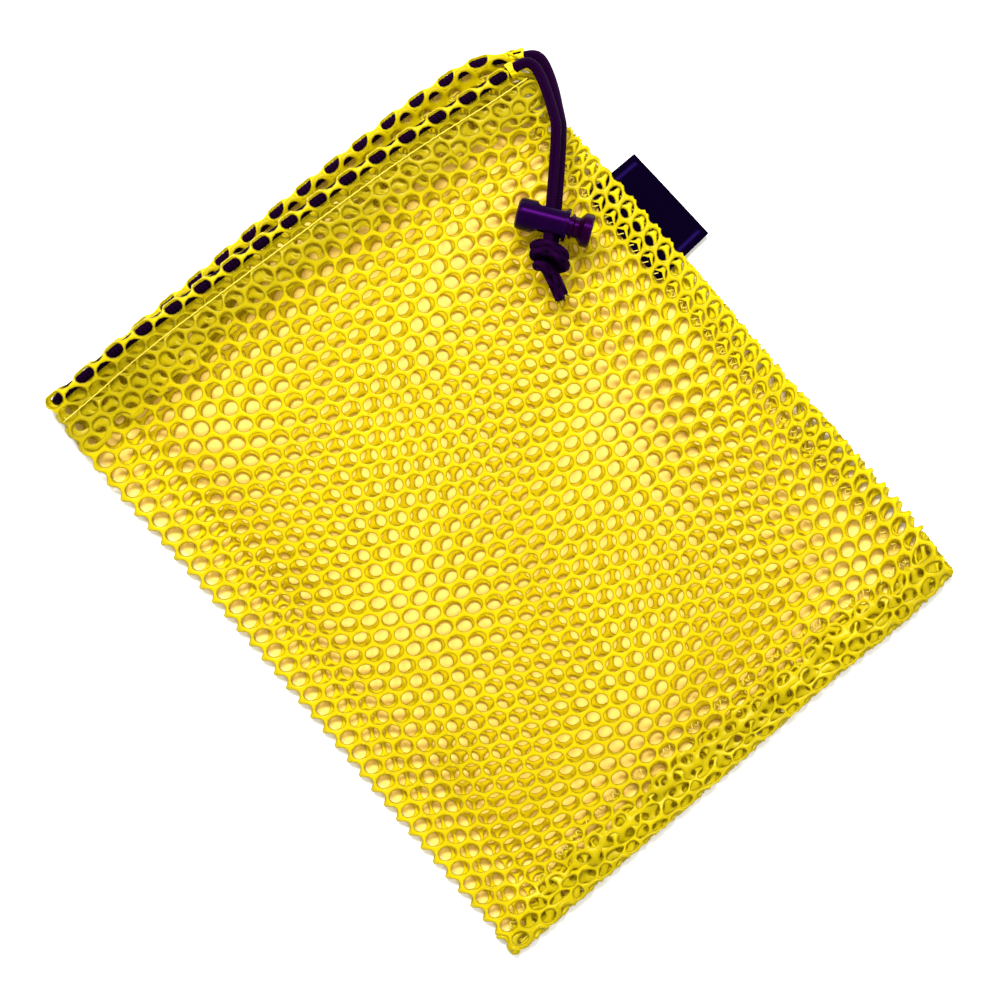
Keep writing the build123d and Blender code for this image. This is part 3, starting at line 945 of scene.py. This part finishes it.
def simulate_sag():
    """Lets a coarse sheet, pinned round its edge, settle, and keeps how far each point has moved."""
    a = np.linspace(*SIM_ACROSS, SIM_COLUMNS)
    b = np.linspace(*SIM_UP, SIM_ROWS)
    grid_a, grid_b = np.meshgrid(a, b)
    start = surface(grid_a, grid_b)
    vertices = start.reshape(-1, 3) * MM
    faces = np.roll(grid_faces(SIM_ROWS, SIM_COLUMNS)[:, ::-1], 1, axis=1)
    mesh = bpy.data.meshes.new("sag")
    mesh.from_pydata(vertices.tolist(), [], faces.tolist())
    cloth_object = placed("sag", mesh)
    row, column = np.indices((SIM_ROWS, SIM_COLUMNS))
    edge = np.minimum.reduce([row, SIM_ROWS - 1 - row, column, SIM_COLUMNS - 1 - column])
    pins = cloth_object.vertex_groups.new(name="pins")
    pins.add(np.flatnonzero(edge == 0).tolist(), 1.0, "ADD")
    modifier = cloth_object.modifiers.new("cloth", "CLOTH")
    settings = modifier.settings
    settings.quality = 6
    settings.mass = 0.2
    settings.tension_stiffness = 12
    settings.compression_stiffness = 12
    settings.bending_stiffness = 1.5
    settings.vertex_group_mass = "pins"
    settings.shrink_min = -0.012
    settings.shrink_max = -0.012
    settings.effector_weights.gravity = 0.12
    modifier.collision_settings.use_self_collision = False
    scene = bpy.context.scene
    for step in range(1, SIM_FRAMES + 1):
        scene.frame_set(step)
    evaluated = cloth_object.evaluated_get(bpy.context.evaluated_depsgraph_get())
    end = np.array([vertex.co for vertex in evaluated.data.vertices]).reshape(start.shape) / MM
    scene.frame_set(1)
    bpy.data.objects.remove(cloth_object)
    move = end - start
    size = np.linalg.norm(move, axis=-1, keepdims=True)
    move *= np.minimum(1, SAG_CAP / np.maximum(size, 1e-6))
    move *= smooth(edge, 0, 3)[..., None]
    SAG.update(grid=move, a0=a[0], b0=b[0], step_a=a[1] - a[0], step_b=b[1] - b[0])


simulate_sag()

# ==== The net pieces ====


def crumple(points, plane):
    """The bottom plies lie crumpled, so they rise and fall and shift along the seam."""
    x, y = points[:, 0], points[:, 1]
    depth = smooth(-plane[:, 1], 1.0, 9.0)[:, None]
    move = np.stack([waves(x * 2.2, y, 5.1, 1.6), waves(x * 2.6, y * 2, 6.4, 1.8) + 1.0,
                     waves(x * 3.0, y * 2, 7.3, 0.9)], axis=1)
    return move * depth


def crease(points, plane):
    """The hem's inner plies lie creased below the stitch line."""
    x, y = points[:, 0], points[:, 1]
    depth = smooth(plane[:, 1] - FABRIC_TOP, HEM_RETURN - 2, HEM_RETURN + 5)[:, None]
    move = np.stack([waves(x * 2.3, y * 2, 5.5, 1.4), waves(x * 2.1, y * 2.6, 1.9, 1.6),
                     waves(x * 2.8, y * 2, 3.7, 0.7) - 0.5], axis=1)
    return move * depth


FRONT_HEM_END = 98.6  # x of the hems' cut ends
BACK_HEM_END = 105.0


def held_to(end):
    """Strands that would stand out past the hem's cut end are pressed back to it."""
    def press(points, plane):
        over = points[:, 0] - end + 1.0
        pressed = np.where(over > 0, end - 1.0 + (1 - np.exp(-np.maximum(over, 0))), points[:, 0])
        return np.stack([pressed - points[:, 0], np.zeros(len(points)), np.zeros(len(points))], axis=1)
    return press


front_panel, front_hem, front_ply, front_side, front_bottom = split(
    lattice(0, 36, -4, 44), front_fabric, turned_depth, FRONT_HEM_END)
back_panel, back_hem, back_ply, back_side, back_bottom = split(
    lattice(-36, -1, -6, 44), back_fabric, turned_depth, BACK_HEM_END)

net_front = net_piece("net_front", front_panel, front_fabric, VINYL_FRONT, ["mesh_front_panel"])
net_back = net_piece("net_back", back_panel, back_fabric, VINYL_BACK_PAINTED_LIGHT, ["mesh_back_panel"])
net_piece("casing_front", front_hem, front_fabric, VINYL_FRONT, ["hem_front"],
          hole_r=HEM_HOLE_R, extra=held_to(FRONT_HEM_END))
net_piece("casing_back", back_hem, back_fabric, VINYL_BACK_PAINTED_LIGHT, ["hem_back"],
          hole_r=HEM_HOLE_R, extra=held_to(BACK_HEM_END))
net_piece("hem_ply_front", front_ply, front_fabric, VINYL_PLY_PAINTED_SHADE, hole_r=PLY_HOLE_R, extra=crease)
net_piece("hem_ply_back", back_ply, back_fabric, VINYL_PLY_PAINTED_SHADE, hole_r=PLY_HOLE_R)
net_piece("side_allowance_front", front_side, front_fabric, VINYL_BACK_PAINTED_LIGHT, ["side_seam_allowance"])
net_piece("side_allowance_back", back_side, back_fabric, VINYL_BACK_PAINTED_LIGHT)
net_piece("bottom_allowance_front", front_bottom, front_fabric, VINYL_PLY_PAINTED_SHADE,
          ["bottom_seam_allowance"], hole_r=PLY_HOLE_R, extra=crumple)
net_piece("bottom_allowance_back", back_bottom, back_fabric, VINYL_PLY_PAINTED_SHADE, hole_r=PLY_HOLE_R,
          extra=crumple)

# ---- The drawcord inside the hem ----
CORD_TURN_X = -92.0  # where the cord starts to turn round the left fold
HEM_OVERLAP = 9  # points of the strands, as the cord runs on into them
CORD_IN_HEM_R = CORD_R - 0.1


def in_casing(x, stitch, z):
    return np.stack([x, stitch(x) + CASING_OUT + casing_more(x), z + 0 * x], axis=1)


def hem_cord_points():
    """Along the front casing, round the left fold and back along the back casing."""
    front_x = np.arange(INNER_ROUTE[0][0], CORD_TURN_X, -1.0)
    back_x = np.arange(CORD_TURN_X, OUTER_ROUTE[0][0], 1.0)
    front = in_casing(front_x, front_stitch, front_cord_z(front_x))
    back = in_casing(back_x, back_stitch, BACK_CORD_Z)
    radius = (FRONT_CORD_Z - BACK_CORD_Z) / 2
    angle = np.linspace(0.1, pi - 0.1, 9)
    turn = np.stack([CORD_TURN_X - radius * np.sin(angle), np.full(9, front[-1][1]),
                     BACK_CORD_Z + radius + radius * np.cos(angle)], axis=1)
    into_inner, into_outer = inner_points[HEM_OVERLAP], outer_points[HEM_OVERLAP]
    points = np.concatenate([[into_inner], front[2:], turn, back[:-1], [into_outer]])
    return points_at(np.arange(0, distances(points)[-1], 0.5), points)


join("cord_in_hem", [braided_tube(hem_cord_points(), CORD_IN_HEM_R, around=16)], CORD,
     "drawcord_in_hem")

# ---- The hem's cut ends, each gathered round the drawcord to a short sleeve ----
SLEEVE_R = 2.5
SLEEVE_WALL = 0.5
SLOT_TURNS = (55, 118, 235, 300)  # what is left of the holes in it, in degrees round the cord
SLOT_HALF = 15
SLEEVE_SHADE = 0.18  # how much of the painted shade of the hole walls it has


def sleeve(name, end, onward, length, slots=()):
    """The gathered end of a casing: a short ribbed tube round the drawcord, with its slots."""
    onward = np.array(onward) / np.linalg.norm(onward)
    side = np.cross(onward, (0, 0, 1.0))
    up = np.cross(side, onward)
    angle = np.linspace(0, 2 * pi, 72, endpoint=False)
    along = np.linspace(0, 1, 12)
    turn, place = np.meshgrid(angle, along)
    ribs = 1 + 0.05 * np.sin(9 * turn + 2 * place) + 0.03 * np.sin(4 * turn)
    swell = SLEEVE_R * ribs * (1 + 0.12 * (place - 0.5) ** 2)
    back = (place - 1) * length + 0.35 * np.sin(3 * turn + 0.7) * place
    points = (np.array(end) + (swell * np.cos(turn))[..., None] * side
              + (swell * np.sin(turn))[..., None] * up + back[..., None] * onward)
    in_slot = np.zeros(turn.shape, bool)
    for slot in slots:
        in_slot |= (np.abs(np.degrees(turn) - slot) < SLOT_HALF) & (place > 0.2) & (place < 0.8)
    faces = tube_faces(*turn.shape)[~in_slot[:-1]]
    piece = mesh_object(name, points.reshape(-1, 3), faces, VINYL_BACK_PAINTED_LIGHT,
                        marks=[("wall_shade", np.full(turn.size, SLEEVE_SHADE))])
    thicken(piece, SLEEVE_WALL)


def faces_in_triangles(faces):
    """Triangles only, for a tube with caps and sides in one list."""
    triangles = []
    for face in faces:
        triangles.extend((face[0], face[k], face[k + 1]) for k in range(1, len(face) - 1))
    return triangles


sleeve("hem_sleeve_front", (FRONT_HEM_END + 0.4, front_stitch(FRONT_HEM_END) + CASING_OUT, FRONT_CORD_Z),
       (1.0, -0.12, 0.0), 2.2)
sleeve("hem_sleeve_back", (BACK_HEM_END + 0.4, back_stitch(BACK_HEM_END) + CASING_OUT, BACK_CORD_Z),
       (1.0, -0.45, 0.0), 5.2, SLOT_TURNS)

# ---- Threads: lockstitch rows, and overlock loops round the turned-in raw edges ----
THREAD_R = 0.21
STITCH = 3.0  # length of a stitch
OVERLOCK = 2.6  # and of an overlock loop


def thread_piece(name, node, line, dip, swing, pitch, material):
    """A thread that dips into the net at each stitch, or swings from side to side over an edge."""
    even = np.arange(0, distances(line)[-1], pitch / 6)
    points = points_at(even, line)
    sides, ups = carried_frames(points)
    phase = 2 * pi * even / pitch
    points += ups * (np.cos(phase) * dip)[:, None] + sides * (np.sin(phase) * swing)[:, None]
    join(name, [braided_tube(points, THREAD_R, around=6, relief=0.0)], material, node)


def on_sheet(a, b, height):
    """A line on the front fabric, a set height off its middle surface."""
    return net_surface(np.asarray(a, float), np.asarray(b, float), np.full(len(a), height), front_fabric)


def straight_row(x, y, z):
    return np.stack([x, y, np.full(len(x), z)], axis=1)


SEAM_THREAD_Z = 2.4
front_a = np.linspace(3, 198, 120)
front_row = on_sheet(front_a, stitch_b(left_edge(117.0) + front_a) - 0.3, NET_T / 2 + 0.1)
back_x = np.linspace(-94, STITCH_END_X, 120)
back_row = straight_row(back_x, back_stitch(back_x), 1.2)
seam_y = np.linspace(-116, 103, 130)
side_row = straight_row(right_edge(seam_y) - 2.2, seam_y, SEAM_THREAD_Z)
side_loops = straight_row(right_edge(seam_y) - SIDE_ALLOWANCE + 1.0, seam_y, SEAM_THREAD_Z)
seam_x = np.linspace(-93, 100, 130)
bottom_row = straight_row(seam_x, bottom_edge(seam_x) + 2.0, SEAM_THREAD_Z)
bottom_loops = straight_row(seam_x, bottom_edge(seam_x) + turned_depth(seam_x) - 0.5, SEAM_THREAD_Z + 0.2)
for thread in (
    ("stitches_hem_front", "hem_stitching_front", front_row, 0.12, 0.05, STITCH, THREAD),
    ("stitches_hem_back", "hem_stitching_back", back_row, 0.12, 0.05, STITCH, THREAD),
    ("stitches_side", "side_seam_stitching", side_row, 0.3, 0.1, STITCH, INNER_THREAD_PAINTED_SHADE),
    ("overlock_side", "side_overlock_thread", side_loops, 0.6, 1.0, OVERLOCK, INNER_THREAD_PAINTED_SHADE),
    ("stitches_bottom", "bottom_seam_stitching", bottom_row, 0.3, 0.1, STITCH, INNER_THREAD_PAINTED_SHADE),
    ("overlock_bottom", "bottom_overlock_thread", bottom_loops, 0.6, 0.9, OVERLOCK, INNER_THREAD_PAINTED_SHADE),
):
    thread_piece(*thread)

# ---- The bottom seam's folded edge, where the plies lie on each other ----
FOLD_EDGE_R = 0.75
fold_x = np.linspace(-95, 102.5, 500)
fold_line = np.stack([fold_x, bottom_edge(fold_x) + 0.5 + waves(fold_x * 3.3, 0 * fold_x, 1.3, 0.5),
                      1.9 + waves(fold_x * 4.1, 0 * fold_x, 2.9, 0.6)], axis=1)
fold_vertices, fold_faces, _ = braided_tube(fold_line, FOLD_EDGE_R, around=10, relief=0.0)
mesh_object("bottom_fold_edge", fold_vertices, faces_in_triangles(fold_faces), VINYL_PLY_PAINTED_SHADE,
            marks=[("wall_shade", np.zeros(len(fold_vertices)))])

# ---- Label: a woven ribbon folded double, sewn into the side seam ----
LABEL_CORNERS = ((91.0, 62.2), (112.2, 62.1), (114.3, 24.4), (91.0, 22.9))
LABEL_MIDDLE_Z = 2.3
LABEL_PLY = 0.32
LABEL_STEPS = 28
BORDER_LINE_AT = 0.075  # of the label's length, from either end
BORDER_LINE_HALF = 0.014


def label_piece():
    """Both plies and the fold between them, as one closed ribbon with a slight wave."""
    top_in, top_out, low_out, low_in = np.array(LABEL_CORNERS)
    across = np.linspace(0, 1, LABEL_STEPS)
    fold = np.linspace(0, pi, 9)[1:-1]
    reach = np.concatenate([across, 1 + np.sin(fold) * 0.02, across[::-1]])
    gap = LABEL_PLY * 0.62
    level = np.concatenate([np.full(LABEL_STEPS, gap), gap * np.cos(fold), np.full(LABEL_STEPS, -gap)])
    down = np.linspace(0, 1, 40)
    reach_grid, down_grid = np.meshgrid(reach, down)
    level_grid = np.meshgrid(level, down)[0]
    sewn = top_in + (low_in - top_in) * down_grid[..., None]
    folded = top_out + (low_out - top_out) * down_grid[..., None]
    x, y = np.moveaxis(sewn + (folded - sewn) * reach_grid[..., None], -1, 0)
    free = smooth(reach_grid, 0.5, 1.0)
    z = LABEL_MIDDLE_Z + free * (0.35 * np.sin(down_grid * 5.0) + 0.5) + level_grid * (1 + 0.5 * free)
    points = np.stack([x, y, z], axis=-1)
    edge = np.minimum(down_grid, 1 - down_grid)
    line = (np.abs(edge - BORDER_LINE_AT) < BORDER_LINE_HALF) & (reach_grid < 0.96)
    marks = [("border_line", line.astype(float).reshape(-1))]
    piece = mesh_object("woven_label", points.reshape(-1, 3), grid_faces(*x.shape), LABEL,
                        marks=marks)
    thicken(piece, LABEL_PLY)
    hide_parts("label")
    return piece


label = label_piece()

# ==== Cord lock: CAD shapes with their finish, and the spring inside the barrel, at rest ====

for node, material in (("cord_lock_barrel", LOCK), ("cord_lock_plunger", BUTTON)):
    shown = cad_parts[node]
    for slot_index in range(len(shown.material_slots)):
        shown.material_slots[slot_index].material = material

LOCK_AT = 5.0  # place of the lock on the slide line, at rest
LOCK_ANGLE = -54.5  # direction of the barrel, from its closed end to its button
SPRING_R = 2.9
SPRING_WIRE_R = 0.3
SPRING_TURNS = 4
SPRING_FROM, SPRING_TO = -10.85, -6.05  # along the barrel, from the slide line


def lock_spring():
    """The coil inside the barrel, held at the barrel's closed end."""
    middle = np.array(SLIDE_START + SLIDE_DIR * LOCK_AT)
    barrel_dir, across = np.array(heading(LOCK_ANGLE)), np.array(heading(LOCK_ANGLE + 90))
    turn = np.linspace(0, 2 * pi * SPRING_TURNS, 40 * SPRING_TURNS)
    along = np.linspace(SPRING_FROM, SPRING_TO, len(turn))
    line = (middle + np.outer(along, barrel_dir) + np.outer(np.cos(turn) * SPRING_R, across)
            + np.outer(np.sin(turn) * SPRING_R, (0, 0, 1)))
    vertices, faces, _ = braided_tube(line, SPRING_WIRE_R, around=8, relief=0.0)
    piece = mesh_object("lock_spring", vertices, faces_in_triangles(faces), SPRING,
                        "cord_lock")
    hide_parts("cord_lock_spring")
    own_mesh(piece)


lock_spring()

# ==== Floor and light ====

FLOOR_Z = -0.3
FLOOR_REACH = 3000.0
FLOOR_STEP = 2.5
UNDER_FADE = 3.5  # from the bag's outline inwards


def floor():
    """A wide floor, finely divided only round the bag, with how far each point is under the bag, for the
    painted yellow light there.
    """
    x = np.concatenate([[-FLOOR_REACH], np.arange(-110, 115, FLOOR_STEP), [FLOOR_REACH]])
    y = np.concatenate([[-FLOOR_REACH], np.arange(-132, 134, FLOOR_STEP), [FLOOR_REACH]])
    grid_x, grid_y = np.meshgrid(x, y)
    points = np.stack([grid_x, grid_y, np.full(grid_x.shape, FLOOR_Z)], axis=-1).reshape(-1, 3)
    faces = grid_faces(*grid_x.shape)[:, ::-1]
    reach = [grid_x - left_edge(grid_y), right_edge(grid_y) - 3 - grid_x, grid_y - bottom_edge(grid_x),
             back_stitch(grid_x) + 7 - grid_y]
    under = smooth(np.minimum.reduce(reach), 0, UNDER_FADE)
    plain_mesh("floor", points, faces, floor_material(), [("under_bag_painted_light", under.reshape(-1))])


WORLD_LIGHT = 0.9


def area_light(name, place, target, size, power):
    data = bpy.data.lights.new(name, "AREA")
    data.shape = "DISK"
    data.size = size
    data.energy = power
    lamp = placed(name, data)
    lamp.location = place
    lamp.rotation_euler = (Vector(target) - Vector(place)).to_track_quat("-Z", "Y").to_euler()


floor()
area_light("key", (0.16, 0.95, 1.2), (0, 0, 0), 0.5, 25)
area_light("strip", (0.46, 0.45, 1.0), (0.06, 0.02, 0), 0.3, 12)
area_light("fill", (0.9, -0.6, 1.4), (0, 0, 0), 1.2, 6)
world = bpy.data.worlds.new("studio")
world.use_nodes = True
world.node_tree.nodes["Background"].inputs["Color"].default_value = (1, 1, 1, 1)
world.node_tree.nodes["Background"].inputs["Strength"].default_value = WORLD_LIGHT
bpy.context.scene.world = world
bpy.context.scene.view_settings.view_transform = "Standard"
